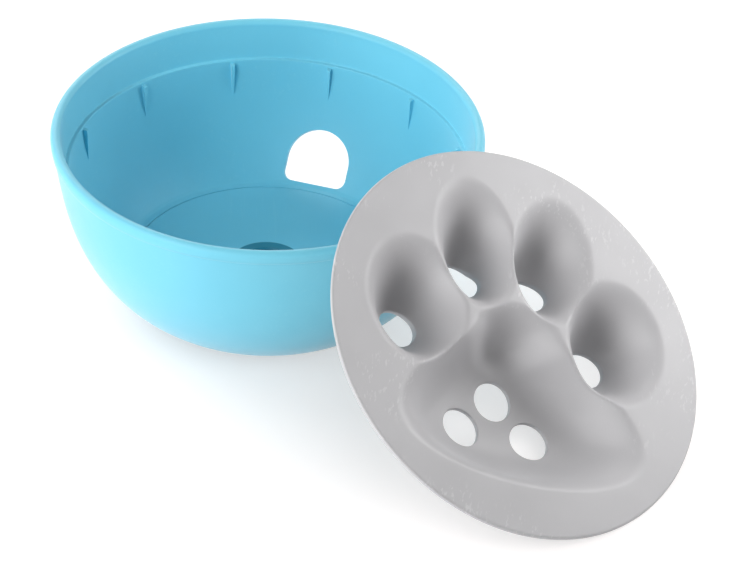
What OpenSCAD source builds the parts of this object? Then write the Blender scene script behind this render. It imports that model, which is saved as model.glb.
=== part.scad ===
// Rocking puzzle feeder: a weighted round bowl with a removable paw-print lid.
// The bowl stands on the floor at the origin, +Z is up, and the lid leans on the front right of its rim.
// All sizes are in millimetres and all angles in degrees.

/* [Bowl] */
// Outer diameter over the rim bead
rim_d = 225; // [205:1:245]
// Height of the bowl from the floor to the top of the rim
bowl_h = 103; // [90:1:118]
// Diameter of the flat foot that the bowl stands on
foot_d = 68; // [50:1:84]
// How fast the upper wall opens out, in radius per height
flare = 0.157; // [0.1:0.001:0.22]
// Height of the straight flare between the round belly and the rim bead
flare_h = 16.5; // [10:0.5:24]
// Fullness of the round belly
belly_power = 2.38; // [2:0.01:2.8]
// Wall thickness at the floor
wall_low = 3; // [2.4:0.1:3.6]
// Wall thickness just under the lid ledge
wall_high = 5.6; // [5:0.1:6.4]

/* [Rim] */
// How far the rim bead stands out from the wall
bead_out = 1.1; // [0.6:0.1:1.8]
// Height of the rim bead
bead_h = 7; // [5:0.1:9]
// Width of the rim bead across its top
bead_w = 5.4; // [4.6:0.1:6]
// Depth of the lid ledge below the top of the rim
ledge_drop = 22; // [18:0.5:26]
// Width of the lid ledge
ledge_w = 2.1; // [1.6:0.1:2.6]

/* [Ribs] */
// Number of wedge ribs under the ledge
rib_count = 12; // [8:1:16]
// Height of a rib
rib_h = 19; // [14:0.5:24]
// Width of a rib at its top
rib_w = 2.6; // [1.8:0.1:3.4]
// How far the top of a rib reaches in from the wall
rib_reach = 2.6; // [1.6:0.1:3.6]
// Width of a rib at its foot
rib_foot_w = 1; // [0.6:0.1:1.6]
// Gap between the ledge and the top of a rib
rib_drop = 1.6; // [0.8:0.1:3]

/* [Door] */
// Direction of the door, turned from the back of the bowl toward the right
door_turn = 18.7; // [0:0.1:40]
// Width of the door
door_w = 35.4; // [28:0.2:42]
// Height of the door, measured along the sloping wall
door_h = 30.5; // [26:0.2:34]
// Radius of the two lower corners
door_corner = 5; // [3:0.2:8]
// How far the sill is above the floor
door_sill = 1.2; // [0.6:0.1:3]

/* [Floor plate and weight] */
// Height of the floor plate's top face
floor_h = 17.5; // [16:0.1:20]
// Width of the shoulder between the wall and the floor plate
shoulder_w = 3.7; // [2.8:0.1:6]
// Fillet where the wall meets the shoulder
shoulder_round = 1.4; // [0.8:0.1:2]
// Thickness of the floor plate
plate_t = 2.4; // [2:0.1:3]
// Radial gap around the floor plate
plate_gap = 0.3; // [0.2:0.05:0.6]
// Thickness of the flat seal under the edge of the floor plate
seal_t = 0.6; // [0.4:0.05:1]
// Width of the ring that the seal sits on
seat_w = 5; // [4:0.1:6]
// Diameter of the round recess in the middle of the floor plate
recess_d = 28; // [24:0.5:30]
// Depth of that recess
recess_deep = 6.5; // [4:0.1:7]
// Thickness of the bowl's bottom
base_t = 3; // [2.4:0.1:3.6]
// Diameter of the ballast weight
ballast_d = 104; // [90:1:110]
// Free height between the ballast weight and the floor plate
ballast_free = 3.1; // [1:0.1:5]
// Gap between the ballast weight and what is around it
ballast_gap = 0.4; // [0.2:0.05:0.8]
// Diameter of the post that takes the screw
post_d = 13; // [11:0.5:16]
// Diameter of the screw's shank
screw_d = 4; // [3.5:0.1:4.5]
// Play of the screw in the plate and the washer, across the hole
screw_gap = 0.6; // [0.4:0.1:1]
// Play of the screw in the post, across the hole
thread_gap = 0.1; // [0.05:0.05:0.2]
// Diameter of the screw's head
head_d = 9; // [8:0.2:11]
// Height of the screw's head
head_h = 2.2; // [1.6:0.1:2.6]
// Length of the cross slot in the screw's head
slot_l = 4.4; // [3.6:0.1:5]
// Width of the cross slot
slot_w = 1; // [0.6:0.1:1.4]
// Thickness of the sealing washer
washer_t = 1.2; // [0.8:0.1:1.6]
// Diameter of the sealing washer
washer_d = 16; // [13:0.5:20]

/* [Lid] */
// Thickness of the lid
lid_t = 2.4; // [2:0.1:3]
// Radial gap between the lid and the wall above the ledge
lid_gap = 0.8; // [0.4:0.1:1.4]
// Chamfer around the lid's upper edge
lid_edge = 0.5; // [0.2:0.1:1]
// Diameter of the food holes
hole_d = 20.6; // [16:0.2:22]
// Rounding of the pockets' lips
lip_round = 16; // [10:0.5:18]
// Rounding of the ridges between the pockets
ridge_round = 5; // [3:0.5:8]
// Rounding where the crown runs into the heel pocket
crown_round = 28; // [20:0.5:32]

/* [Paw print] */
// Inner toe pockets: distance from the middle line
toe_in_x = 21; // [19:0.5:23]
// Inner toe pockets: distance ahead of the lid's centre
toe_in_y = 48; // [45:0.5:50]
// Inner toe pockets: width
toe_in_w = 38.8; // [34:0.2:42]
// Inner toe pockets: length
toe_in_l = 60; // [54:0.5:64]
// Inner toe pockets: outward lean
toe_in_lean = 6; // [0:0.5:10]
// Inner toe pockets: depth
toe_in_deep = 30.5; // [24:0.5:32]
// Inner toe pockets: distance of the deepest point inward from the centre
toe_in_low_in = 4; // [0:0.5:6]
// Inner toe pockets: distance of the deepest point behind the centre
toe_in_low_back = 6.5; // [0:0.5:9]
// Outer toe pockets: distance from the middle line
toe_out_x = 56.2; // [52:0.2:58]
// Outer toe pockets: distance ahead of the lid's centre
toe_out_y = 10; // [6:0.5:14]
// Outer toe pockets: width
toe_out_w = 48; // [42:0.5:52]
// Outer toe pockets: length
toe_out_l = 59; // [52:0.5:64]
// Outer toe pockets: outward lean
toe_out_lean = 5.4; // [0:0.2:12]
// Outer toe pockets: depth
toe_out_deep = 31.5; // [24:0.5:33]
// Outer toe pockets: distance of the deepest point inward from the centre
toe_out_low_in = 3.4; // [0:0.2:6]
// Outer toe pockets: distance of the deepest point behind the centre
toe_out_low_back = 2.1; // [0:0.1:6]
// Heel pocket: distance behind the lid's centre
heel_y = 33.5; // [30:0.5:36]
// Heel pocket: width across its middle
heel_w = 117; // [104:0.5:122]
// Heel pocket: length
heel_l = 80; // [72:0.5:84]
// Heel pocket: depth
heel_deep = 28.8; // [22:0.2:30]
// Heel pocket: distance of the deepest point ahead of the centre
heel_low_ahead = 6; // [0:0.5:10]
// Heel pocket: how much it narrows toward the toes
heel_taper = 0.38; // [0.2:0.02:0.46]
// Crown of the heel pocket, between the toes: distance ahead of the lid's centre
crown_y = 3.5; // [0:0.5:6]
// Crown of the heel pocket: width
crown_w = 39; // [34:0.5:44]
// Crown of the heel pocket: length
crown_l = 26; // [22:0.5:32]
// Crown of the heel pocket: depth
crown_deep = 22.4; // [16:0.2:25]
// Inner toe holes: distance inward from the pocket's centre
toe_in_hole_in = 2; // [0:0.5:4]
// Inner toe holes: distance behind the pocket's centre
toe_in_hole_back = 8.5; // [4:0.5:11]
// Outer toe holes: distance inward from the pocket's centre
toe_out_hole_in = 1.8; // [0:0.2:5]
// Outer toe holes: distance behind the pocket's centre
toe_out_hole_back = 3.4; // [0:0.2:8]
// Front heel hole: distance ahead of the heel pocket's centre
heel_hole_ahead = 11.8; // [9:0.2:15]
// Rear heel holes: distance from the middle line
rear_hole_side = 19.5; // [16:0.5:23]
// Rear heel holes: distance behind the heel pocket's centre
rear_hole_back = 6.5; // [3:0.5:10]

/* [Lid place] */
// Tilt of the leaning lid from level
lid_tilt = 36.2; // [33:0.1:42]
// Direction that the lid's face leans toward
lid_turn = -41.7; // [-60:0.1:-30]
// Turn of the paw print in the lid
lid_spin = 49.1; // [30:0.1:70]
// Sideways place of the lid along the rim
lid_side = 11.3; // [0:0.1:25]
// Gap left where the lid leans on the rim
lean_gap = 0.4; // [0.3:0.05:0.8]

/* [Hidden] */
$fn = 96;
// How far a cut runs past the face that it cuts
over = 1;

blue = [0.34, 0.72, 0.83];
grey = [0.72, 0.72, 0.73];
steel = [0.6, 0.61, 0.63];
black = [0.12, 0.12, 0.13];

rim_r = rim_d / 2;
foot_r = foot_d / 2;
crease_z = bowl_h - bead_h;
crease_r = rim_r - bead_out;
belly_z = crease_z - flare_h;
belly_r = crease_r - flare * (crease_z - belly_z);
ledge_z = bowl_h - ledge_drop;
bead_r = bead_w / 2;
bead_mid = rim_r - bead_r;

// Outer radius of the bowl at a height
function outer_r(z) = z < belly_z
    ? foot_r + flare * z
        + (belly_r - foot_r - flare * belly_z) * pow(1 - pow(1 - z / belly_z, belly_power), 1 / belly_power)
    : belly_r + flare * (z - belly_z);

// Heights of the outer profile, closer together near the foot
steps = 44;
heights = [for (i = [1 : steps]) crease_z * pow(i / steps, 1.8)];

// A point inside the outer wall, at a distance square to it
function inner_point(z, t) =
    let (h = 0.01 + z * 0.002)
    let (slope = (outer_r(z + h) - outer_r(max(z - h, 0.001))) / (z + h - max(z - h, 0.001)))
    let (k = sqrt(1 + slope * slope))
    [outer_r(z) - t / k, z + t * slope / k];

// Thickness of the wall at a height, thin at the floor and thick under the ledge
function wall_at(z) =
    let (up = max(0, min(1, (z - floor_h) / (ledge_z - floor_h))))
    wall_low + (wall_high - wall_low) * up * up;

inside = [for (z = heights) inner_point(z, wall_at(z))];
inside_of_z = [for (p = inside) [p[1], p[0]]];
function inner_r(z) = lookup(z, inside_of_z);
under = [for (z = heights) inner_point(z, base_t)];

ledge_in = inner_r(ledge_z);
ledge_out = ledge_in + ledge_w;

// Stack of the pieces under the floor
seat_r = inner_r(floor_h) - shoulder_w;
seat_in = seat_r - seat_w;
plate_bottom = floor_h - plate_t;
seat_z = plate_bottom - seal_t;
recess_r = recess_d / 2;
recess_z = floor_h - recess_deep;
cup_bottom = recess_z - plate_t;
cup_r = recess_r + plate_t;
ballast_top = plate_bottom - ballast_free;
ballast_r = ballast_d / 2;
ballast_in = cup_r + 2 * ballast_gap;
ballast_edge = 0.4;

// Lid
lid_r = ledge_out - lid_gap;
lid_deep = max(toe_in_deep, toe_out_deep, heel_deep) + crown_round / 4 + 3 * lid_t;
// How a pocket deepens from its outline: 2 is a round dish, and more is steeper with a flatter bottom
toe_in_power = 1.8;
toe_out_power = 2;
heel_power = 4;
crown_power = 1.8;
// Each pocket: place, half width, half length, lean, depth, power, place of its deepest point, taper
toe_in = [toe_in_x, toe_in_y, toe_in_w / 2, toe_in_l / 2, -toe_in_lean, toe_in_deep, toe_in_power,
    -toe_in_low_in, -toe_in_low_back, 0];
toe_out = [toe_out_x, toe_out_y, toe_out_w / 2, toe_out_l / 2, -toe_out_lean, toe_out_deep, toe_out_power,
    -toe_out_low_in, -toe_out_low_back, 0];
heel = [0, -heel_y, heel_w / 2, heel_l / 2, 0, heel_deep, heel_power, 0, heel_low_ahead, heel_taper];
crown = [0, crown_y, crown_w / 2, crown_l / 2, 0, crown_deep, crown_power, 0, 0, 0];
// Distance from the lid's centre that no pocket reaches past, with its lip
paw_reach = max([for (p = [toe_in, toe_out, heel])
    norm([p[0], p[1]]) + p[3] * pow(1 + lip_round / p[5], 1 / p[6])]);
toe_in_hole = [toe_in_x - toe_in_hole_in, toe_in_y - toe_in_hole_back];
toe_out_hole = [toe_out_x - toe_out_hole_in, toe_out_y - toe_out_hole_back];
heel_hole = [0, heel_hole_ahead - heel_y];
rear_hole = [rear_hole_side, -heel_y - rear_hole_back];
// All food holes: the front heel hole, and the others in pairs on both sides of the middle line
paw_holes = concat([heel_hole],
    [for (h = [toe_in_hole, toe_out_hole, rear_hole], s = [-1, 1]) [s * h[0], h[1]]]);

// How far a tapered pocket keeps narrowing, in half lengths from its centre
taper_end = 1.6;
// How far past its outline a pocket keeps rising, as a multiple of the outline
rise_end = 3;

// Depth of one pocket: most at its deepest point, nothing on its oval outline, and below nothing outside
function dish(x, y, p, s = 1) =
    let (dy = y - p[1], t = s * p[4])
    let (dx = (x - s * p[0]) / (1 - p[9] * max(-taper_end, min(taper_end, dy / p[3]))))
    let (u = (dx * cos(t) + dy * sin(t)) / p[2], v = (dy * cos(t) - dx * sin(t)) / p[3])
    let (low_u = s * p[7] / p[2], low_v = p[8] / p[3], du = u - low_u, dv = v - low_v)
    let (d = du * du + dv * dv, along = low_u * du + low_v * dv)
    let (reach = sqrt(along * along + d * (1 - low_u * low_u - low_v * low_v)) - along)
    let (rho = min(rise_end, d / max(reach, 0.000001)))
    p[5] * (1 - pow(rho, p[6]));

// The deeper of two forms, with a round in place of the corner between them
function soft(a, b, r) = let (h = max(r - abs(a - b), 0) / r) max(a, b) + h * h * r / 4;

// Depth of the paw print below the lid's face
function paw(x, y) =
    let (left = soft(dish(x, y, toe_out, -1), dish(x, y, toe_in, -1), ridge_round))
    let (right = soft(dish(x, y, toe_out), dish(x, y, toe_in), ridge_round))
    let (toes = soft(soft(left, right, ridge_round), 0, lip_round))
    let (pad = soft(soft(dish(x, y, heel), dish(x, y, crown), crown_round), 0, lip_round))
    // The round on the ridges fades out toward the flat face
    min(toes, pad) > 0.001 ? soft(toes, pad, min(ridge_round, toes, pad)) : max(toes, pad);

// Depth of the lid's underside, which keeps the thickness on the slopes
function paw_under(x, y) =
    let (h = 0.4)
    let (gx = (paw(x + h, y) - paw(x - h, y)) / (2 * h), gy = (paw(x, y + h) - paw(x, y - h)) / (2 * h))
    paw(x, y) + lid_t * min(sqrt(1 + gx * gx + gy * gy), 1.8);

// Place of the leaning lid: its low edge is on the floor and its underside rests on the rim
lean = [cos(lid_turn), sin(lid_turn), 0];
across = [-sin(lid_turn), cos(lid_turn), 0];
lid_normal = [sin(lid_tilt) * lean[0], sin(lid_tilt) * lean[1], cos(lid_tilt)];
lid_down = [cos(lid_tilt) * lean[0], cos(lid_tilt) * lean[1], -sin(lid_tilt)];
lid_mid_z = lid_r * sin(lid_tilt) + lid_t * cos(lid_tilt);
function lid_mid(out) = lean * out - across * lid_side + [0, 0, lid_mid_z];

// Points on the rim bead that the lid could touch
rim_touch = [for (a = [0 : 15 : 90], w = [-54 : 1.5 : 54])
    let (r = bead_mid + bead_r * cos(a))
    [r * cos(lid_turn + w), r * sin(lid_turn + w), bowl_h - bead_r + bead_r * sin(a)]];

// Smallest space between the rim and the lid's underside, for a place of the lid
function lean_space(out) = min([for (p = rim_touch)
    let (d = p - lid_mid(out), x = d * lid_down, y = d * across)
    let (u = x * cos(lid_spin) + y * sin(lid_spin), v = y * cos(lid_spin) - x * sin(lid_spin))
    u * u + v * v < lid_r * lid_r ? -(d * lid_normal) - paw_under(u, v) : 1000]);

// Move the lid in or out until that space is the gap
function lean_out(out, n) = n == 0 ? out : lean_out(out + (lean_gap - lean_space(out)) / 2, n - 1);
lid_out = lean_out(rim_r + lid_r * cos(lid_tilt), 12);

module at_lid() {
    translate(lid_mid(lid_out)) rotate([0, lid_tilt, lid_turn]) rotate([0, 0, lid_spin]) children();
}

// Section of the bowl: foot, belly, bead, ledge, wall, floor seat and base
module bowl_section() {
    near = 0.5;
    outside = concat([[0, 0], [foot_r, 0]], [for (z = heights) [outer_r(z), z]]);
    bead_low = [for (a = [78 : -13 : 0])
        [rim_r - bead_out + bead_out * cos(a), bowl_h - bead_r - (bead_h - bead_r) * sin(a)]];
    bead_top = [for (a = [15 : 15 : 180]) [bead_mid + bead_r * cos(a), bowl_h - bead_r + bead_r * sin(a)]];
    ledge = [[ledge_out, ledge_z], [ledge_in, ledge_z]];
    wall = [for (i = [len(inside) - 1 : -1 : 0])
        if (inside[i][1] < ledge_z - near && inside[i][1] > floor_h + near) inside[i]];
    shoulder = [[inner_r(floor_h) - shoulder_round / 3, floor_h + shoulder_round / 5],
        [inner_r(floor_h) - shoulder_round, floor_h], [seat_r, floor_h]];
    seat = [[seat_r, seat_z], [seat_in, seat_z]];
    drop = [[seat_in, lookup(seat_in, under)]];
    hollow = [for (i = [len(under) - 1 : -1 : 0])
        if (under[i][0] < seat_in - near && under[i][0] > foot_r) under[i]];
    post = [[foot_r, base_t], [post_d / 2, base_t], [post_d / 2, cup_bottom], [0, cup_bottom]];
    polygon(concat(outside, bead_low, bead_top, ledge, wall, shoulder, seat, drop, hollow, post));
}

// One wedge rib under the ledge, thinning out to nothing at its foot
module rib() {
    top = ledge_z - rib_drop;
    low = top - rib_h;
    reach = inner_r(top) - rib_reach;
    root = 1;
    wide = rib_w / 2;
    thin = rib_foot_w / 2;
    intersection() {
        rotate([90, 0, 0]) translate([0, 0, -wide]) linear_extrude(rib_w)
            polygon([[reach, top - root], [reach + root, top], [inner_r(top) + root, top],
                [inner_r(low) + root, low], [inner_r(low), low]]);
        rotate([90, 0, 90]) linear_extrude(rim_r)
            polygon([[-wide, top + over], [wide, top + over], [thin, low - over], [-thin, low - over]]);
    }
}

// Outline of the door: a round arch on a flat sill with rounded corners
module door_outline() {
    w = door_w / 2;
    c = door_corner;
    union() {
        translate([0, door_h - w]) circle(r = w);
        translate([-w, c]) square([door_w, door_h - w - c]);
        translate([-w + c, 0]) square([door_w - 2 * c, door_h - w]);
        translate([-w + c, c]) circle(r = c);
        translate([w - c, c]) circle(r = c);
    }
}

// The door, cut square to the sloping wall
door_z = floor_h + door_sill;
// Slope of the wall over the lower two thirds of the door, and how far the cut runs to each side of it
door_span = door_h * 2 / 3;
door_rise = atan2(inner_r(door_z + door_span) - inner_r(door_z), door_span);
door_in = 9;
door_out = 15;
module door_cut() {
    rotate([0, 0, 90 - door_turn]) translate([inner_r(door_z), 0, door_z])
        rotate([0, door_rise, 0]) rotate([90, 0, 90])
            translate([0, 0, -door_in]) linear_extrude(door_in + door_out) door_outline();
}

module bowl_shell() {
    color(blue) difference() {
        union() {
            rotate_extrude() bowl_section();
            for (i = [0 : rib_count - 1])
                rotate([0, 0, 90 - door_turn + i * 360 / rib_count]) rib();
        }
        door_cut();
        translate([0, 0, base_t]) cylinder(d = screw_d + thread_gap, h = cup_bottom);
    }
}

module floor_seal() {
    color(black) difference() {
        translate([0, 0, seat_z]) cylinder(r = seat_r - plate_gap, h = seal_t);
        translate([0, 0, seat_z - over]) cylinder(r = seat_in + plate_gap, h = seal_t + 2 * over);
    }
}

// Cast weight that follows the inside of the bowl's bottom
module ballast_weight() {
    low = [for (z = heights) inner_point(z, base_t + ballast_gap)];
    belly = [for (p = low) if (p[0] < ballast_r && p[0] > foot_r) p];
    color(steel) rotate_extrude() polygon(concat(
        [[ballast_in, base_t], [foot_r, base_t]],
        belly,
        [[ballast_r, lookup(ballast_r, low)], [ballast_r, ballast_top - ballast_edge],
         [ballast_r - ballast_edge, ballast_top], [ballast_in, ballast_top]]));
}

// Floor plate with a cup in its middle that stands on the post
module floor_plate() {
    edge = seat_r - plate_gap;
    bevel = 0.5;
    lip = 0.8;
    color(blue) difference() {
        rotate_extrude() polygon([
            [0, cup_bottom], [cup_r, cup_bottom], [cup_r, plate_bottom], [edge, plate_bottom],
            [edge, floor_h - bevel], [edge - bevel, floor_h], [recess_r + lip, floor_h],
            [recess_r, floor_h - lip], [recess_r, recess_z], [0, recess_z]]);
        translate([0, 0, cup_bottom - over]) cylinder(d = screw_d + screw_gap, h = plate_t + 2 * over);
    }
}

module seal_washer() {
    color(black) difference() {
        translate([0, 0, recess_z]) cylinder(d = washer_d, h = washer_t);
        translate([0, 0, recess_z - over]) cylinder(d = screw_d + screw_gap, h = washer_t + 2 * over);
    }
}

// Pan-head screw that clamps the floor plate to the post
module floor_screw() {
    head_z = recess_z + washer_t;
    tip_z = base_t + thread_gap;
    slot_z = head_z + head_h / 2;
    color(steel) difference() {
        union() {
            translate([0, 0, head_z]) cylinder(d1 = head_d, d2 = head_d - head_h, h = head_h);
            translate([0, 0, tip_z]) cylinder(d = screw_d, h = head_z - tip_z + thread_gap);
        }
        for (a = [0, 90])
            rotate([0, 0, a]) translate([-slot_l / 2, -slot_w / 2, slot_z]) cube([slot_l, slot_w, head_h]);
    }
}

// The moulded lid: a disc whose face dips into five blended pockets, at an even thickness
module lid_sheet() {
    rings = 27;
    parts = 100;
    radii = concat([for (i = [1 : rings - 1]) paw_reach * i / (rings - 1)], [lid_r + over]);
    turns = [for (j = [0 : parts - 1]) [cos(j * 360 / parts), sin(j * 360 / parts)]];
    grid = concat([[0, 0]], [for (r = radii, t = turns) r * t]);
    face = [for (g = grid) [g[0], g[1], -paw(g[0], g[1])]];
    back = [for (g = grid) [g[0], g[1], -paw_under(g[0], g[1])]];
    n = len(grid);
    function at(i, j) = 1 + i * parts + j % parts;
    // How far a straight edge between two points is from the print
    function miss(a, b) = let (m = (face[a] + face[b]) / 2) abs(m[2] + paw(m[0], m[1]));
    fan = [for (j = [0 : parts - 1]) [0, at(0, j + 1), at(0, j)]];
    // Each patch is split along the diagonal that follows the print more closely
    band = [for (i = [0 : rings - 2], j = [0 : parts - 1], k = [0, 1])
        let (a = at(i, j), b = at(i, j + 1), c = at(i + 1, j + 1), d = at(i + 1, j))
        miss(a, c) < miss(b, d)
            ? (k == 0 ? [a, b, c] : [a, c, d])
            : (k == 0 ? [a, b, d] : [b, c, d])];
    top = concat(fan, band);
    bottom = [for (f = top) [n + f[2], n + f[1], n + f[0]]];
    side = [for (j = [0 : parts - 1], k = [0, 1]) let (a = at(rings - 1, j), b = at(rings - 1, j + 1))
        k == 0 ? [a, b, n + b] : [a, n + b, n + a]];
    polyhedron(concat(face, back), concat(top, bottom, side), convexity = 6);
}

module paw_lid() {
    color(grey) at_lid() difference() {
        intersection() {
            lid_sheet();
            rotate_extrude() polygon([[0, -lid_deep], [lid_r, -lid_deep], [lid_r, -lid_edge],
                [lid_r - lid_edge - over, over], [0, over]]);
        }
        for (p = paw_holes)
            translate([p[0], p[1], -lid_deep]) cylinder(d = hole_d, h = lid_deep + over);
    }
}

bowl_shell();
floor_seal();
ballast_weight();
floor_plate();
seal_washer();
floor_screw();
paw_lid();
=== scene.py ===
"""Looks of the rocking puzzle feeder: a blue moulded bowl and a loose grey lid in the form of a paw print."""

import math
from collections import namedtuple

import bpy
import numpy as np
from mathutils import Matrix, Vector, geometry


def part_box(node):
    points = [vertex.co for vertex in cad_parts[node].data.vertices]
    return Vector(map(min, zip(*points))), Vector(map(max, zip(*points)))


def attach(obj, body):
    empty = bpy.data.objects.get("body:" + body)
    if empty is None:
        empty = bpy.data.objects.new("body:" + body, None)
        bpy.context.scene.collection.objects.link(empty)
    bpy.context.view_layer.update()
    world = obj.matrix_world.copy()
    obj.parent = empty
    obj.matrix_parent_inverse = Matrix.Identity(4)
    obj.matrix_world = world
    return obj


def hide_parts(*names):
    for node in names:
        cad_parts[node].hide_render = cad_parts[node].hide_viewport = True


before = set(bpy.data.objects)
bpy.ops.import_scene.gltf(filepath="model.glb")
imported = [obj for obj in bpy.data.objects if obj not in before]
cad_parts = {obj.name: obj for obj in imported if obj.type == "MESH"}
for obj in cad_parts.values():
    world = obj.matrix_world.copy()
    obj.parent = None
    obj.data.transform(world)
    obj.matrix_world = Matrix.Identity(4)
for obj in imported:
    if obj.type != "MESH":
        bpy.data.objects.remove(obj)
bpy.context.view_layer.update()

# Sizes are in millimetres and are turned into metres when a mesh is made
MM = 0.001
# A number just above nothing, so that no division is by nothing
TINY = 1e-6
node_box = {name: [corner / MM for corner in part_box(name)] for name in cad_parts}

# Edges flatter than this angle in degrees are shaded smooth
SMOOTH = 35
LID_SMOOTH = 60

# Bowl, with its outer sizes taken from the frame
RIM_R = -node_box["bowl_shell"][0].x
BOWL_H = node_box["bowl_shell"][1].z
FOOT_R = 34
FLARE = 0.157
FLARE_H = 16.5
BELLY_POWER = 2.38
WALL_LOW = 3
WALL_HIGH = 5.6
BEAD_OUT = 1.1
BEAD_H = 7
BEAD_W = 5.4
LEDGE_DROP = 22
LEDGE_W = 2.1
LEDGE_ROUND = 0.5
CREASE_Z = BOWL_H - BEAD_H
CREASE_R = RIM_R - BEAD_OUT
BELLY_Z = CREASE_Z - FLARE_H
BELLY_R = CREASE_R - FLARE * FLARE_H
LEDGE_Z = BOWL_H - LEDGE_DROP
# The plain inner wall ends this far from the ledge and from the floor
WALL_CLEAR = 1.2
# Steps around the bowl, and steps up its wall, which stand closer toward the foot
BOWL_SEGMENTS = 360
PROFILE_STEPS = 130
PROFILE_POWER = 1.8

# Floor of the bowl and what is under it
FLOOR_Z = node_box["floor_plate"][1].z
SEAT_GAP = 0.3
SEAT_R = node_box["floor_plate"][1].x + SEAT_GAP
SEAT_Z = node_box["floor_seal"][0].z
SEAT_W = 5
SEAT_ROUND = 0.3
HOLLOW_CLEAR = 0.5
BASE_T = 3
POST_R = 6.5
POST_TOP = node_box["floor_plate"][0].z
PILOT_R = 2.05
# A dark round painted in the middle of the floor plate, as painted shade in and around its recess: its radius
# and the half width of its soft edge
PAINTED_SHADE_R = 19.6
PAINTED_SHADE_BLUR = 0.3
# Soft corner between wall and floor: how far each point is in from the wall and up from the floor
SHOULDER = ((0.1, 0.5), (0.7, 0.12), (1.4, 0))

# Ribs under the ledge
RIB_COUNT = 12
RIB_H = 19
RIB_W = 2.6
RIB_FOOT_W = 1
RIB_REACH = 2.6
RIB_DROP = 1.6
RIB_SINK = 1.2
RIB_CORNER = 1.2
RIB_CORNER_MID = (0.3, 0.4)
# The free edge of a rib is narrower than its root, and counts as free from this distance to the wall
RIB_FREE_SHARE = 0.75
RIB_FREE_FROM = 0.5

# Door in the wall, cut from a place inside the inner wall to a place outside the bowl
DOOR_TURN = math.radians(18.7)
DOOR_W = 35.4
DOOR_H = 30.5
DOOR_CORNER = 5
DOOR_SILL = 1.2
# The cut leans with the inner wall, measured over this share of the door's height
DOOR_LEAN_SHARE = 2 / 3
DOOR_CUT_FROM = -9
DOOR_CUT_TO = 15

# Lid and its place
LID_R = 104.55
LID_T = 2.4
LID_ROUND = 1.1
HOLE_R = 10.3
HOLE_ROUND = 0.5
LIP_ROUND = 16
RIDGE_ROUND = 5
CROWN_ROUND = 28
LID_EDGE = 0.5
LID_TILT = math.radians(36.2)
LID_TURN = math.radians(-41.7)
LID_SPIN = math.radians(49.1)
lid_turned = (
    Matrix.Rotation(LID_TURN, 4, "Z") @ Matrix.Rotation(LID_TILT, 4, "Y") @ Matrix.Rotation(LID_SPIN, 4, "Z")
)
# The way that the lid's face looks, and the middle of that face, from the box around the lid
lid_out = lid_turned.col[2].to_3d()
lid_box_mid = (node_box["paw_lid"][0] + node_box["paw_lid"][1]) / 2
lid_mid = lid_box_mid + lid_out * (LID_T + LID_EDGE) / 2

# Pockets of the lid: middle, half sizes, lean, depth, steepness, offset of the deepest point, taper
Pocket = namedtuple("Pocket", "x y half_w half_l lean deep power low_x low_y taper")
TOE_IN = Pocket(21, 48, 19.4, 30, math.radians(-6), 30.5, 1.8, -4, -6.5, 0)
TOE_OUT = Pocket(56.2, 10, 24, 29.5, math.radians(-5.4), 31.5, 2, -3.4, -2.1, 0)
HEEL = Pocket(0, -33.5, 58.5, 40, 0, 28.8, 4, 0, 6, 0.38)
CROWN = Pocket(0, 3.5, 19.5, 13, 0, 22.4, 1.8, 0, 0, 0)
# How far a tapered pocket keeps narrowing, in half lengths, and a pocket keeps rising past its outline
TAPER_END = 1.6
RISE_END = 3
# The most times that a slope makes the thickness larger when it is measured straight down
STEEP_END = 1.8
PAW_HOLES = [(0, -21.7), (-19, 39.5), (19, 39.5), (-54.4, 6.6), (54.4, 6.6), (-19.5, -40), (19.5, -40)]

# Net of the lid: its pitch, rings of points beside the rim and the holes, and the space around them
NET_PITCH = 1.25
NET_TOLERANCE = 1e-7
RIM_STEPS = 480
RIM_RINGS = (0, 0.06, 0.2, 0.42, 0.75, 1.15, 1.6)
RIM_CLEAR = 2.2
HOLE_STEPS = 84
HOLE_RINGS = (0, 0.06, 0.18, 0.36, 0.6, 1.1)
HOLE_CLEAR = 1.8

# Plastics: scales of the noise for colour, specks, gloss, grain and patches of scuffs, and the range in use
DRIFT_SCALE = 14
DRIFT_RANGE = (0.35, 0.65)
SPECK_SCALE = 900
SPECK_RANGE = (0.72, 0.78)
SPECK_SHARE = 0.25
GLOSS_SCALE = 60
GLOSS_RANGE = (0.3, 0.7)
GLOSS_LESS = 0.04
GLOSS_MORE = 0.05
GRAIN_SCALE = 2200
GRAIN_BUMP = 0.08
PATCH_SCALE = 24
PATCH_RANGE = (0.48, 0.6)
# Refraction of the plastics, roughness of their sheen, and depth of the bump on every finish, in metres
PLASTIC_IOR = 1.49
SHEEN_ROUGH = 0.4
BUMP_DEPTH = 0.0003
# Scuffs: direction in radians, scale of the noise, and the level above which it shows
SCUFFS = ((0.4, 420, 0.62), (1.9, 380, 0.63), (1.1, 520, 0.64))
SCUFF_STRETCH = 0.04
SCUFF_EDGE = 0.05
# What a scuff adds to the roughness, and to the height of the grain
SCUFF_ROUGH = 0.1
SCUFF_HEIGHT = -0.6
# Depths below the lid's face between which the scuffs fade out
SCUFF_FULL = 1
SCUFF_NONE = 6

# Hidden finishes: range of the noise in use, its share of grey, its change of roughness, and its bump
PLAIN_RANGE = (0.3, 0.7)
PLAIN_GREY = 0.25
PLAIN_ROUGH = 0.06
PLAIN_BUMP = 0.2

# Stage: half the floor's width in metres, its colour for bounced light and as it is seen, and its glow
FLOOR_HALF = 4
FLOOR_BOUNCE = (0.82, 0.82, 0.83, 1)
FLOOR_SEEN = (0.53, 0.5, 0.49, 1)
FLOOR_GLOW = 0.56
# White of the glow and of the world, and the strength of the world's fill light
WHITE = (1, 1, 1, 1)
WORLD_FILL = 0.05

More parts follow.
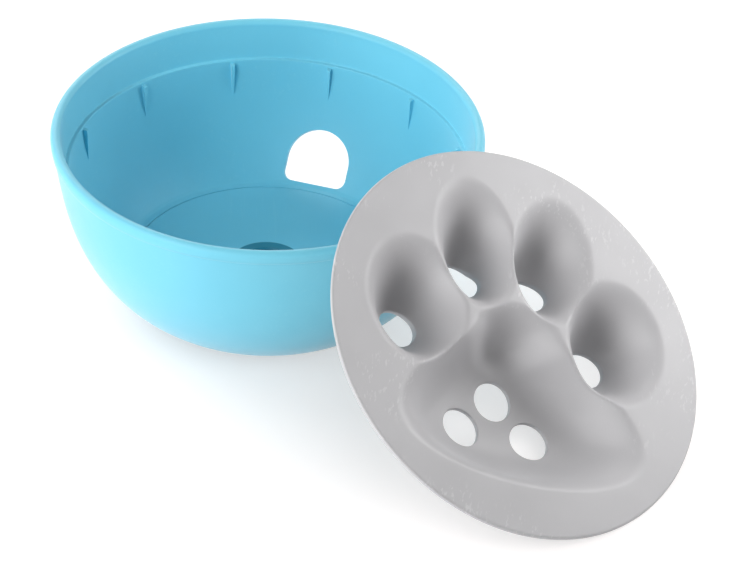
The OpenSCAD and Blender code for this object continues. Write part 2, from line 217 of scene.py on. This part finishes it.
# Camera of the photograph: its place in metres, its angles, and its lens and sensor in millimetres
CAMERA_PLACE = (0, -1.34175, 0.97461)
CAMERA_YAW = math.radians(2.4926)
CAMERA_PITCH = math.radians(35.8515)
CAMERA_ROLL = math.radians(2.3145)
CAMERA_LENS = 148.16
CAMERA_SENSOR = 36

# Lamps: name, turn from +X toward +Y, rise, distance, width, height, radiance, in degrees and metres
LAMP_AIM = Vector((0.06, -0.06, 0.05))
OBJECT_LAMPS = (
    ("softbox_left_low", 230, 17, 1.7, 0.85, 0.8, 6.3),
    ("softbox_left_high", 214, 46, 1.7, 0.75, 1.0, 5.6),
    ("softbox_back_left", 172, 15, 1.7, 1.75, 0.6, 3.0),
    ("softbox_back", 110, 33, 1.7, 1.1, 0.6, 4.8),
    ("softbox_right_low", 17, 15, 0.7, 0.62, 0.25, 4.5),
    ("softbox_right_high", 17, 36, 0.6, 0.24, 0.32, 6.0),
)
# The floor has lamps of its own, so that the shadow lies under the object and the lid
FLOOR_LAMPS = (
    ("floor_light_over", 0, 90, 1.7, 4.5, 4.5, 0.65),
    ("floor_light_front", 292, 38, 1.7, 1.5, 1.2, 4.1),
    ("floor_light_back", 130, 35, 1.7, 2.6, 1.2, 3.2),
)


# Meshes


def add_object(name, points, faces, smooth_angle=SMOOTH):
    """A mesh object from points in millimetres, shaded smooth up to an angle in degrees."""
    mesh = bpy.data.meshes.new(name)
    mesh.from_pydata([tuple(float(c) * MM for c in p) for p in points], [], faces)
    mesh.validate()
    obj = bpy.data.objects.new(name, mesh)
    bpy.context.scene.collection.objects.link(obj)
    shade(obj, smooth_angle)
    return obj


def shade(obj, smooth_angle):
    obj.data.shade_smooth()
    obj.data.set_sharp_from_angle(angle=math.radians(smooth_angle))


def revolve(name, profile, segments):
    """A closed body from a profile of (radius, height) points that starts and ends on the axis."""
    angles = np.linspace(0, 2 * math.pi, segments, endpoint=False)
    points = [(0, 0, profile[0][1])]
    for r, z in profile[1:-1]:
        points += [(r * math.cos(a), r * math.sin(a), z) for a in angles]
    points.append((0, 0, profile[-1][1]))
    last = len(points) - 1
    rings = len(profile) - 2

    def at(ring, j):
        return 1 + ring * segments + j % segments

    faces = [(0, at(0, j + 1), at(0, j)) for j in range(segments)]
    for ring in range(rings - 1):
        faces += [
            (at(ring, j), at(ring, j + 1), at(ring + 1, j + 1), at(ring + 1, j))
            for j in range(segments)
        ]
    faces += [(last, at(rings - 1, j), at(rings - 1, j + 1)) for j in range(segments)]
    return add_object(name, points, faces)


def prism(outline, low, high, place):
    """Points and faces of an upright prism, moved by a 4x4 matrix in millimetres."""
    n = len(outline)
    points = [place @ Vector((x, y, h)) for h in (low, high) for x, y in outline]
    faces = [tuple(reversed(range(n))), tuple(range(n, 2 * n))]
    faces += [(j, (j + 1) % n, n + (j + 1) % n, n + j) for j in range(n)]
    return points, faces


def boolean(target, tool, operation):
    """Join a tool to a target or cut it out, and delete the tool."""
    modifier = target.modifiers.new("boolean", "BOOLEAN")
    modifier.operation = operation
    modifier.solver = "EXACT"
    modifier.object = tool
    evaluated = target.evaluated_get(bpy.context.evaluated_depsgraph_get())
    made = bpy.data.meshes.new_from_object(evaluated)
    target.modifiers.clear()
    target.data = made
    bpy.data.objects.remove(tool)


# Bowl


def outer_r(z):
    """Outer radius of the bowl at a height: a round belly, then a straight flare."""
    if z >= BELLY_Z:
        return BELLY_R + FLARE * (z - BELLY_Z)
    fullness = (1 - (1 - z / BELLY_Z) ** BELLY_POWER) ** (1 / BELLY_POWER)
    return FOOT_R + FLARE * z + (BELLY_R - FOOT_R - FLARE * BELLY_Z) * fullness


def inside_point(z, thickness):
    """The point at a distance inside the outer wall, square to it."""
    step = 0.01 + z * 0.002
    low = max(z - step, 0.001)
    slope = (outer_r(z + step) - outer_r(low)) / (z + step - low)
    length = math.hypot(1, slope)
    return outer_r(z) - thickness / length, z + thickness * slope / length


def wall_at(z):
    """Thickness of the wall, which grows from the floor to the ledge."""
    up = min(1, max(0, (z - FLOOR_Z) / (LEDGE_Z - FLOOR_Z)))
    return WALL_LOW + (WALL_HIGH - WALL_LOW) * up * up


heights = [CREASE_Z * (i / PROFILE_STEPS) ** PROFILE_POWER for i in range(1, PROFILE_STEPS + 1)]
inside = [inside_point(z, wall_at(z)) for z in heights]
under = [inside_point(z, BASE_T) for z in heights]


def inner_r(z):
    """Inner radius of the bowl at a height."""
    return float(np.interp(z, [p[1] for p in inside], [p[0] for p in inside]))


def hollow_z(r):
    """Height of the hollow bottom's face at a radius."""
    return float(np.interp(r, [p[0] for p in under], [p[1] for p in under]))


def arc(mid, radius, start, end, steps, height=None):
    """Points of a circle's or an ellipse's arc, with the angles in degrees."""
    turns = np.radians(np.linspace(start, end, steps + 1))
    return [(mid[0] + radius * math.cos(a), mid[1] + (height or radius) * math.sin(a)) for a in turns]


def bowl_profile():
    """From the foot's middle up the outside, over the rim, down the inside and back under the floor."""
    outside = [(0, 0), (FOOT_R, 0)] + [(outer_r(z), z) for z in heights]

    bead_r = BEAD_W / 2
    bead_z = BOWL_H - bead_r
    bead = arc((CREASE_R, bead_z), BEAD_OUT, -82, 0, 8, BEAD_H - bead_r)
    bead += arc((RIM_R - bead_r, bead_z), bead_r, 8, 180, 22)

    ledge_in = inner_r(LEDGE_Z)
    ledge_out = ledge_in + LEDGE_W
    ledge = arc((ledge_out - LEDGE_ROUND, LEDGE_Z + LEDGE_ROUND), LEDGE_ROUND, 0, -90, 4)
    ledge += arc((ledge_in + LEDGE_ROUND, LEDGE_Z - LEDGE_ROUND), LEDGE_ROUND, 90, 180, 4)

    wall_end = FLOOR_Z + WALL_CLEAR
    wall = [p for p in reversed(inside) if wall_end < p[1] < LEDGE_Z - WALL_CLEAR]
    wall.append((inner_r(wall_end), wall_end))
    wall += [(inner_r(FLOOR_Z) - step_in, FLOOR_Z + step_up) for step_in, step_up in SHOULDER]

    seat_in = SEAT_R - SEAT_W
    seat = arc((SEAT_R + SEAT_ROUND, FLOOR_Z - SEAT_ROUND), SEAT_ROUND, 90, 180, 3)
    seat += [(SEAT_R, SEAT_Z), (seat_in, SEAT_Z), (seat_in, hollow_z(seat_in))]

    hollow = [p for p in reversed(under) if FOOT_R < p[0] < seat_in - HOLLOW_CLEAR]
    hollow += [(FOOT_R, BASE_T), (POST_R, BASE_T)]
    post = [(POST_R, POST_TOP), (PILOT_R, POST_TOP), (PILOT_R, BASE_T), (0, BASE_T)]
    return outside + bead + ledge + wall + seat + hollow + post


def rib_pieces():
    """Wedge ribs that thin out to nothing at their foot."""
    top = LEDGE_Z - RIB_DROP
    low = top - RIB_H
    tip = inner_r(top) - RIB_REACH
    corner_in, corner_down = RIB_CORNER_MID
    side = [
        (tip, top - RIB_CORNER),
        (tip + corner_in, top - corner_down),
        (tip + RIB_CORNER, top),
        (inner_r(top) + RIB_SINK, top),
        (inner_r(low) + RIB_SINK, low),
        (inner_r(low), low),
    ]
    n = len(side)
    points, faces = [], []
    for i in range(RIB_COUNT):
        turn = math.pi / 2 - DOOR_TURN + i * 2 * math.pi / RIB_COUNT
        out = Vector((math.cos(turn), math.sin(turn), 0))
        across = Vector((-math.sin(turn), math.cos(turn), 0))
        first = len(points)
        for sign in (-1, 1):
            for r, z in side:
                half = (RIB_FOOT_W + (RIB_W - RIB_FOOT_W) * (z - low) / RIB_H) / 2
                if r < inner_r(z) - RIB_FREE_FROM:
                    half *= RIB_FREE_SHARE
                points.append(out * r + across * sign * half + Vector((0, 0, z)))
        faces.append(tuple(first + k for k in range(n)))
        faces.append(tuple(first + n + k for k in reversed(range(n))))
        for k in range(n):
            after = (k + 1) % n
            faces.append((first + k, first + n + k, first + n + after, first + after))
    return points, faces


def door_outline():
    """A round arch on a flat sill with rounded corners, in door coordinates."""
    half = DOOR_W / 2
    arch = arc((0, DOOR_H - half), half, 0, 180, 48)
    left = arc((-half + DOOR_CORNER, DOOR_CORNER), DOOR_CORNER, 180, 270, 8)
    right = arc((half - DOOR_CORNER, DOOR_CORNER), DOOR_CORNER, 270, 360, 8)
    return arch + left + right


def make_bowl():
    """The bowl's moulding with its ribs and its door, which leans with the inner wall."""
    bowl = revolve("bowl", bowl_profile(), BOWL_SEGMENTS)
    boolean(bowl, add_object("ribs", *rib_pieces()), "UNION")
    door_z = FLOOR_Z + DOOR_SILL
    span = DOOR_H * DOOR_LEAN_SHARE
    rise = math.atan2(inner_r(door_z + span) - inner_r(door_z), span)
    place = (
        Matrix.Rotation(math.pi / 2 - DOOR_TURN, 4, "Z")
        @ Matrix.Translation((inner_r(door_z), 0, door_z))
        @ Matrix.Rotation(rise, 4, "Y")
        @ Matrix.Rotation(math.pi / 2, 4, "Z")
        @ Matrix.Rotation(math.pi / 2, 4, "X")
    )
    door = prism(door_outline(), DOOR_CUT_FROM, DOOR_CUT_TO, place)
    boolean(bowl, add_object("door", *door), "DIFFERENCE")
    shade(bowl, SMOOTH)
    return bowl


# Lid


def dish(x, y, pocket, side=1):
    """Depth of one pocket: most at its deepest point, nothing on its oval outline, below nothing outside."""
    half_w, half_l = pocket.half_w, pocket.half_l
    turn = side * pocket.lean
    dy = y - pocket.y
    dx = (x - side * pocket.x) / (1 - pocket.taper * np.clip(dy / half_l, -TAPER_END, TAPER_END))
    low_u = side * pocket.low_x / half_w
    low_v = pocket.low_y / half_l
    du = (dx * math.cos(turn) + dy * math.sin(turn)) / half_w - low_u
    dv = (dy * math.cos(turn) - dx * math.sin(turn)) / half_l - low_v
    square = du * du + dv * dv
    along = low_u * du + low_v * dv
    reach = np.sqrt(along * along + square * (1 - low_u**2 - low_v**2)) - along
    share = np.minimum(RISE_END, square / np.maximum(reach, TINY))
    return pocket.deep * (1 - share**pocket.power)


def soft(a, b, width):
    """The deeper of two forms, with a round in place of the corner between them."""
    h = np.maximum(width - np.abs(a - b), 0) / width
    return np.maximum(a, b) + h * h * width / 4


def paw(x, y):
    """Depth of the paw print below the lid's face."""
    left = soft(dish(x, y, TOE_OUT, -1), dish(x, y, TOE_IN, -1), RIDGE_ROUND)
    right = soft(dish(x, y, TOE_OUT), dish(x, y, TOE_IN), RIDGE_ROUND)
    toes = soft(soft(left, right, RIDGE_ROUND), 0, LIP_ROUND)
    pad = soft(soft(dish(x, y, HEEL), dish(x, y, CROWN), CROWN_ROUND), 0, LIP_ROUND)
    # The round on the ridges fades out toward the flat face
    return soft(toes, pad, np.maximum(np.minimum(np.minimum(toes, pad), RIDGE_ROUND), TINY))


def paw_under(x, y):
    """Depth of the lid's underside, which keeps the thickness on the slopes."""
    step = 0.4
    slope_x = (paw(x + step, y) - paw(x - step, y)) / (2 * step)
    slope_y = (paw(x, y + step) - paw(x, y - step)) / (2 * step)
    return paw(x, y) + LID_T * np.minimum(np.sqrt(1 + slope_x * slope_x + slope_y * slope_y), STEEP_END)


def circle(mid, radius, steps):
    """Points around a circle, seen from above."""
    turns = np.linspace(0, 2 * math.pi, steps, endpoint=False)
    return np.stack([mid[0] + radius * np.cos(turns), mid[1] + radius * np.sin(turns)], 1)


def distance(points, mid):
    """How far each point is from a place, seen from above."""
    return np.hypot(points[:, 0] - mid[0], points[:, 1] - mid[1])


def round_over(away, radius):
    """How far a rounded edge drops, at a distance from the edge."""
    away = np.clip(away, 0, radius)
    return radius - np.sqrt(np.maximum(radius**2 - (radius - away) ** 2, 0))


def lid_plan():
    """Points of the lid seen from above, its triangles, and the loops around its rim and its holes."""
    parts, loops, edges = [], [], []
    count = 0
    borders = [((0, 0), LID_R, -1, RIM_STEPS, RIM_RINGS)]
    borders += [(mid, HOLE_R, 1, HOLE_STEPS, HOLE_RINGS) for mid in PAW_HOLES]
    for mid, radius, sign, steps, rings in borders:
        loop = np.arange(steps) + count
        loops.append(loop)
        edges += [(int(a), int(b)) for a, b in zip(loop, np.roll(loop, -1))]
        parts += [circle(mid, radius + sign * away, steps) for away in rings]
        count += steps * len(rings)

    # A net of even triangles fills the space between the rings
    row_pitch = NET_PITCH * math.sqrt(3) / 2
    cols = int(LID_R / NET_PITCH) + 2
    rows = int(LID_R / row_pitch) + 2
    i, j = np.meshgrid(np.arange(-cols, cols + 1), np.arange(-rows, rows + 1))
    net = np.stack([(i + 0.5 * (j % 2)) * NET_PITCH, j * row_pitch], -1).reshape(-1, 2)
    keep = distance(net, (0, 0)) < LID_R - RIM_CLEAR
    for mid in PAW_HOLES:
        keep &= distance(net, mid) > HOLE_R + HOLE_CLEAR
    plan = np.concatenate(parts + [net[keep]])

    flat = [Vector(p) for p in plan]
    points, _, triangles, origins, _, _ = geometry.delaunay_2d_cdt(flat, edges, [], 0, NET_TOLERANCE)
    plan = np.array([tuple(p) for p in points])
    triangles = np.array(triangles)
    index = {old: new for new, olds in enumerate(origins) for old in olds}
    loops = [np.array([index[int(k)] for k in loop]) for loop in loops]

    # The triangles that fill the holes are left out
    centres = plan[triangles].mean(1)
    solid = np.ones(len(triangles), bool)
    for mid in PAW_HOLES:
        solid &= distance(centres, mid) > HOLE_R * math.cos(math.pi / HOLE_STEPS)
    return plan, triangles[solid], loops


def make_lid():
    """The lid as one closed sheet: its face, its back, and walls around the rim and the holes."""
    plan, triangles, loops = lid_plan()
    x, y = plan[:, 0], plan[:, 1]
    drop = round_over(LID_R - distance(plan, (0, 0)), LID_ROUND)
    for mid in PAW_HOLES:
        drop = drop + round_over(distance(plan, mid) - HOLE_R, HOLE_ROUND)
    face = np.stack([x, y, -paw(x, y) - drop], 1)
    back = np.stack([x, y, -paw_under(x, y) + drop], 1)

    # Every triangle is turned the same way around
    a, b, c = plan[triangles[:, 0]], plan[triangles[:, 1]], plan[triangles[:, 2]]
    wrong = (b[:, 0] - a[:, 0]) * (c[:, 1] - a[:, 1]) < (b[:, 1] - a[:, 1]) * (c[:, 0] - a[:, 0])
    triangles[wrong] = triangles[wrong][:, ::-1]

    used = np.unique(triangles)
    n = len(used)
    number = np.full(len(plan), -1)
    number[used] = np.arange(n)
    faces = [tuple(int(v) for v in t) for t in number[triangles]]
    faces += [tuple(n + v for v in reversed(t)) for t in list(faces)]
    for k, loop in enumerate(loops):
        ring = [int(v) for v in number[loop]]
        if k > 0:
            ring.reverse()
        for p, q in zip(ring, ring[1:] + ring[:1]):
            faces.append((q, p, n + p, n + q))
    turned = np.array(lid_turned.to_3x3())
    points = np.concatenate([face[used], back[used]]) @ turned.T + np.array(lid_mid)
    return add_object("lid", points, faces, LID_SMOOTH)


# Materials


def linear(*rgb):
    """A colour in 0 to 255, as the shader wants it."""
    shares = [c / 255 for c in rgb]
    return tuple(s / 12.92 if s <= 0.04045 else ((s + 0.055) / 1.055) ** 2.4 for s in shares) + (1,)


def material(name):
    made = bpy.data.materials.new(name)
    made.use_nodes = True
    tree = made.node_tree
    return made, tree, tree.nodes["Principled BSDF"]


def set_inputs(tree, target, inputs):
    """Give a node's inputs their values, or links where a value is a socket."""
    for key, value in inputs.items():
        if isinstance(value, bpy.types.NodeSocket):
            tree.links.new(value, target.inputs[key])
        else:
            target.inputs[key].default_value = value


def node(tree, kind, inputs, **settings):
    made = tree.nodes.new(kind)
    for key, value in settings.items():
        setattr(made, key, value)
    set_inputs(tree, made, inputs)
    return made


def place_on(tree):
    """The place on the object, in metres."""
    return node(tree, "ShaderNodeTexCoord", {}).outputs["Object"]


def noise(tree, where, scale, detail=3, roughness=0.5):
    inputs = {"Vector": where, "Scale": scale, "Detail": detail, "Roughness": roughness}
    return node(tree, "ShaderNodeTexNoise", inputs).outputs["Fac"]


def ramp(tree, value, low, high, from_value=0, to_value=1):
    """A number that goes from one value to another while the input goes from low to high."""
    inputs = {"Value": value, "From Min": low, "From Max": high, "To Min": from_value, "To Max": to_value}
    return node(tree, "ShaderNodeMapRange", inputs).outputs["Result"]


def mixed(tree, share, a, b):
    """A colour between two others. The mix node has its colours at inputs 6 and 7 and at output 2."""
    return node(tree, "ShaderNodeMix", {0: share, 6: a, 7: b}, data_type="RGBA").outputs[2]


def calc(tree, a, operation, b):
    return node(tree, "ShaderNodeMath", {0: a, 1: b}, operation=operation).outputs["Value"]


def bump(tree, height, strength):
    inputs = {"Strength": strength, "Distance": BUMP_DEPTH, "Height": height}
    return node(tree, "ShaderNodeBump", inputs).outputs["Normal"]


def scuff_lines(tree, where, turn, scale, level):
    """Fine straight scuffs in patches: noise drawn out along one direction, with only its peaks kept."""
    stretch = (scale, scale * SCUFF_STRETCH, scale)
    drawn = node(tree, "ShaderNodeMapping", {"Vector": where, "Rotation": (0, 0, turn), "Scale": stretch})
    streak = ramp(tree, noise(tree, drawn.outputs["Vector"], 1, 2, 0.6), level, level + SCUFF_EDGE)
    patch = ramp(tree, noise(tree, where, PATCH_SCALE, 2), *PATCH_RANGE)
    return calc(tree, streak, "MULTIPLY", patch)


def in_painted_shade(tree, where):
    """One inside the round of painted shade in the middle of the floor plate, and nothing elsewhere."""
    place = node(tree, "ShaderNodeSeparateXYZ", {"Vector": where})
    x, y = place.outputs["X"], place.outputs["Y"]
    square = calc(tree, calc(tree, x, "MULTIPLY", x), "ADD", calc(tree, y, "MULTIPLY", y))
    outer = ((PAINTED_SHADE_R + PAINTED_SHADE_BLUR) * MM) ** 2
    inner = ((PAINTED_SHADE_R - PAINTED_SHADE_BLUR) * MM) ** 2
    return ramp(tree, square, outer, inner)


def on_lid_face(tree, where):
    """One on the lid's flat face, where it rubs on things, and nothing down in its pockets."""
    height = node(tree, "ShaderNodeVectorMath", {0: where, 1: lid_out}, operation="DOT_PRODUCT")
    level = lid_mid.dot(lid_out)
    return ramp(tree, height.outputs["Value"], (level - SCUFF_NONE) * MM, (level - SCUFF_FULL) * MM)


def moulded_plastic(name, light, dark, worn, rough, shine, sheen, scuffed, middle=None, rubbed=None):
    """Satin moulded plastic with a fine grain, slow colour drift and light scuffs, and, where a middle colour
    is given, a round of painted shade in its middle.
    """
    made, tree, shader = material(name)
    where = place_on(tree)
    marks = 0
    for scuff in SCUFFS:
        marks = calc(tree, scuff_lines(tree, where, *scuff), "MAXIMUM", marks)
    if rubbed:
        marks = calc(tree, marks, "MULTIPLY", rubbed(tree, where))

    drift = ramp(tree, noise(tree, where, DRIFT_SCALE), *DRIFT_RANGE)
    colour = mixed(tree, drift, dark, light)
    speck = ramp(tree, noise(tree, where, SPECK_SCALE, 2), *SPECK_RANGE, 0, SPECK_SHARE)
    colour = mixed(tree, speck, colour, worn)
    colour = mixed(tree, calc(tree, marks, "MULTIPLY", scuffed), colour, worn)
    # The middle colour is painted shade, laid on a round in the middle of the floor plate
    if middle:
        colour = mixed(tree, in_painted_shade(tree, where), colour, middle)

    gloss = noise(tree, where, GLOSS_SCALE, 4)
    gloss = ramp(tree, gloss, *GLOSS_RANGE, rough - GLOSS_LESS, rough + GLOSS_MORE)
    gloss = calc(tree, gloss, "ADD", calc(tree, marks, "MULTIPLY", SCUFF_ROUGH))
    grain = noise(tree, where, GRAIN_SCALE, 3, 0.6)
    height = calc(tree, grain, "ADD", calc(tree, marks, "MULTIPLY", SCUFF_HEIGHT))
    looks = {
        "Base Color": colour,
        "Roughness": gloss,
        "Normal": bump(tree, height, GRAIN_BUMP),
        "IOR": PLASTIC_IOR,
        "Specular IOR Level": shine,
        "Sheen Weight": sheen,
        "Sheen Roughness": SHEEN_ROUGH,
    }
    set_inputs(tree, shader, looks)
    return made


def plain(name, colour, rough, metal=0, grain=800):
    """A simple finish with a fine grain in its colour, gloss and height."""
    made, tree, shader = material(name)
    fine = noise(tree, place_on(tree), grain)
    greyed = ramp(tree, fine, *PLAIN_RANGE, 0, PLAIN_GREY)
    looks = {
        "Base Color": mixed(tree, greyed, colour, linear(128, 128, 128)),
        "Roughness": ramp(tree, fine, *PLAIN_RANGE, rough - PLAIN_ROUGH, rough + PLAIN_ROUGH),
        "Normal": bump(tree, fine, PLAIN_BUMP),
        "Metallic": metal,
    }
    set_inputs(tree, shader, looks)
    return made


def paint(obj, finish):
    obj.data.materials.clear()
    obj.data.materials.append(finish)


blue_look = {
    "light": linear(117, 204, 227),
    "dark": linear(112, 200, 224),
    "worn": linear(158, 222, 236),
    "rough": 0.5,
    "shine": 0.42,
    "sheen": 0.5,
    "scuffed": 0.1,
}
BLUE = moulded_plastic("blue_plastic", **blue_look)
# The floor plate's plastic carries a dark round of painted shade in its middle
FLOOR_BLUE = moulded_plastic("blue_plastic_floor", **blue_look, middle=linear(0, 122, 146))
GREY = moulded_plastic(
    "grey_plastic",
    light=linear(189, 188, 190),
    dark=linear(181, 180, 182),
    worn=linear(220, 219, 220),
    rough=0.45,
    shine=0.45,
    sheen=0,
    scuffed=0.38,
    rubbed=on_lid_face,
)
RUBBER = plain("black_rubber", linear(32, 32, 34), rough=0.75)
IRON = plain("cast_weight", linear(82, 82, 84), rough=0.6, metal=1, grain=300)
STEEL = plain("screw_steel", linear(170, 172, 175), rough=0.35, metal=1, grain=1500)

bowl = make_bowl()
paint(bowl, BLUE)
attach(bowl, "bowl")
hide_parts("bowl_shell")

lid = make_lid()
paint(lid, GREY)
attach(lid, "lid")
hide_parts("paw_lid")

for name, finish in (
    ("floor_plate", FLOOR_BLUE),
    ("floor_seal", RUBBER),
    ("seal_washer", RUBBER),
    ("ballast_weight", IRON),
    ("floor_screw", STEEL),
):
    paint(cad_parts[name], finish)


# Stage


def seen_directly(tree):
    """One for a ray from the camera, a reflection or a glass, and nothing for light that falls on things."""
    path = node(tree, "ShaderNodeLightPath", {}).outputs
    seen = calc(tree, path["Is Camera Ray"], "MAXIMUM", path["Is Glossy Ray"])
    return calc(tree, seen, "MAXIMUM", path["Is Transmission Ray"])


def make_floor():
    """A pale floor that looks white to the camera and keeps the soft shadow."""
    half = FLOOR_HALF / MM
    corners = [(-half, -half, 0), (half, -half, 0), (half, half, 0), (-half, half, 0)]
    floor = add_object("floor", corners, [(0, 1, 2, 3)])
    made, tree, shader = material("floor_white")
    seen = seen_directly(tree)
    # What is seen is mostly glow, so that only the darker part of the shadow shows on white
    looks = {
        "Base Color": mixed(tree, seen, FLOOR_BOUNCE, FLOOR_SEEN),
        "Roughness": 0.9,
        "Specular IOR Level": 0.2,
        "Emission Color": WHITE,
        "Emission Strength": calc(tree, seen, "MULTIPLY", FLOOR_GLOW),
    }
    set_inputs(tree, shader, looks)
    paint(floor, made)
    return floor


def make_world():
    """A white world for the camera, which gives only a little fill light."""
    world = bpy.data.worlds.new("studio")
    world.use_nodes = True
    tree = world.node_tree
    strength = ramp(tree, seen_directly(tree), 0, 1, WORLD_FILL, 1)
    set_inputs(tree, tree.nodes["Background"], {"Color": WHITE, "Strength": strength})
    bpy.context.scene.world = world


def lit_things(name, floor, state):
    """The list that a lamp lights: the floor alone, or everything but the floor."""
    things = bpy.data.collections.new(name)
    things.objects.link(floor)
    things.collection_objects[0].light_linking.link_state = state
    return things


def softbox(name, turn, rise, away, width, height, radiance, lit):
    """An area lamp that faces the object and lights the things on a list."""
    around, up = math.radians(turn), math.radians(rise)
    out = Vector((math.cos(around) * math.cos(up), math.sin(around) * math.cos(up), math.sin(up)))
    data = bpy.data.lights.new(name, "AREA")
    data.shape = "RECTANGLE"
    data.size = width
    data.size_y = height
    data.energy = radiance * math.pi * width * height
    made = bpy.data.objects.new(name, data)
    bpy.context.scene.collection.objects.link(made)
    made.location = LAMP_AIM + out * away
    made.rotation_euler = (-out).to_track_quat("-Z", "Y").to_euler()
    made.visible_camera = False
    made.light_linking.receiver_collection = lit


def make_camera():
    """The photograph's camera: its place, its direction and its focal length."""
    yaw, pitch, roll = CAMERA_YAW, CAMERA_PITCH, CAMERA_ROLL
    ahead = Vector((math.sin(yaw) * math.cos(pitch), math.cos(yaw) * math.cos(pitch), -math.sin(pitch)))
    level = Vector((math.cos(yaw), -math.sin(yaw), 0))
    upward = level.cross(ahead)
    right = level * math.cos(roll) + upward * math.sin(roll)
    up = upward * math.cos(roll) - level * math.sin(roll)
    data = bpy.data.cameras.new("camera")
    data.sensor_width = CAMERA_SENSOR
    data.lens = CAMERA_LENS
    camera = bpy.data.objects.new("camera", data)
    bpy.context.scene.collection.objects.link(camera)
    turned = Matrix((right, up, -ahead)).transposed().to_4x4()
    camera.matrix_world = Matrix.Translation(CAMERA_PLACE) @ turned
    bpy.context.scene.camera = camera


floor = make_floor()
make_world()
on_object = lit_things("lit_object", floor, "EXCLUDE")
on_floor = lit_things("lit_floor", floor, "INCLUDE")
for lamp in OBJECT_LAMPS:
    softbox(*lamp, on_object)
for lamp in FLOOR_LAMPS:
    softbox(*lamp, on_floor)
make_camera()
bpy.context.scene.view_settings.view_transform = "Standard"
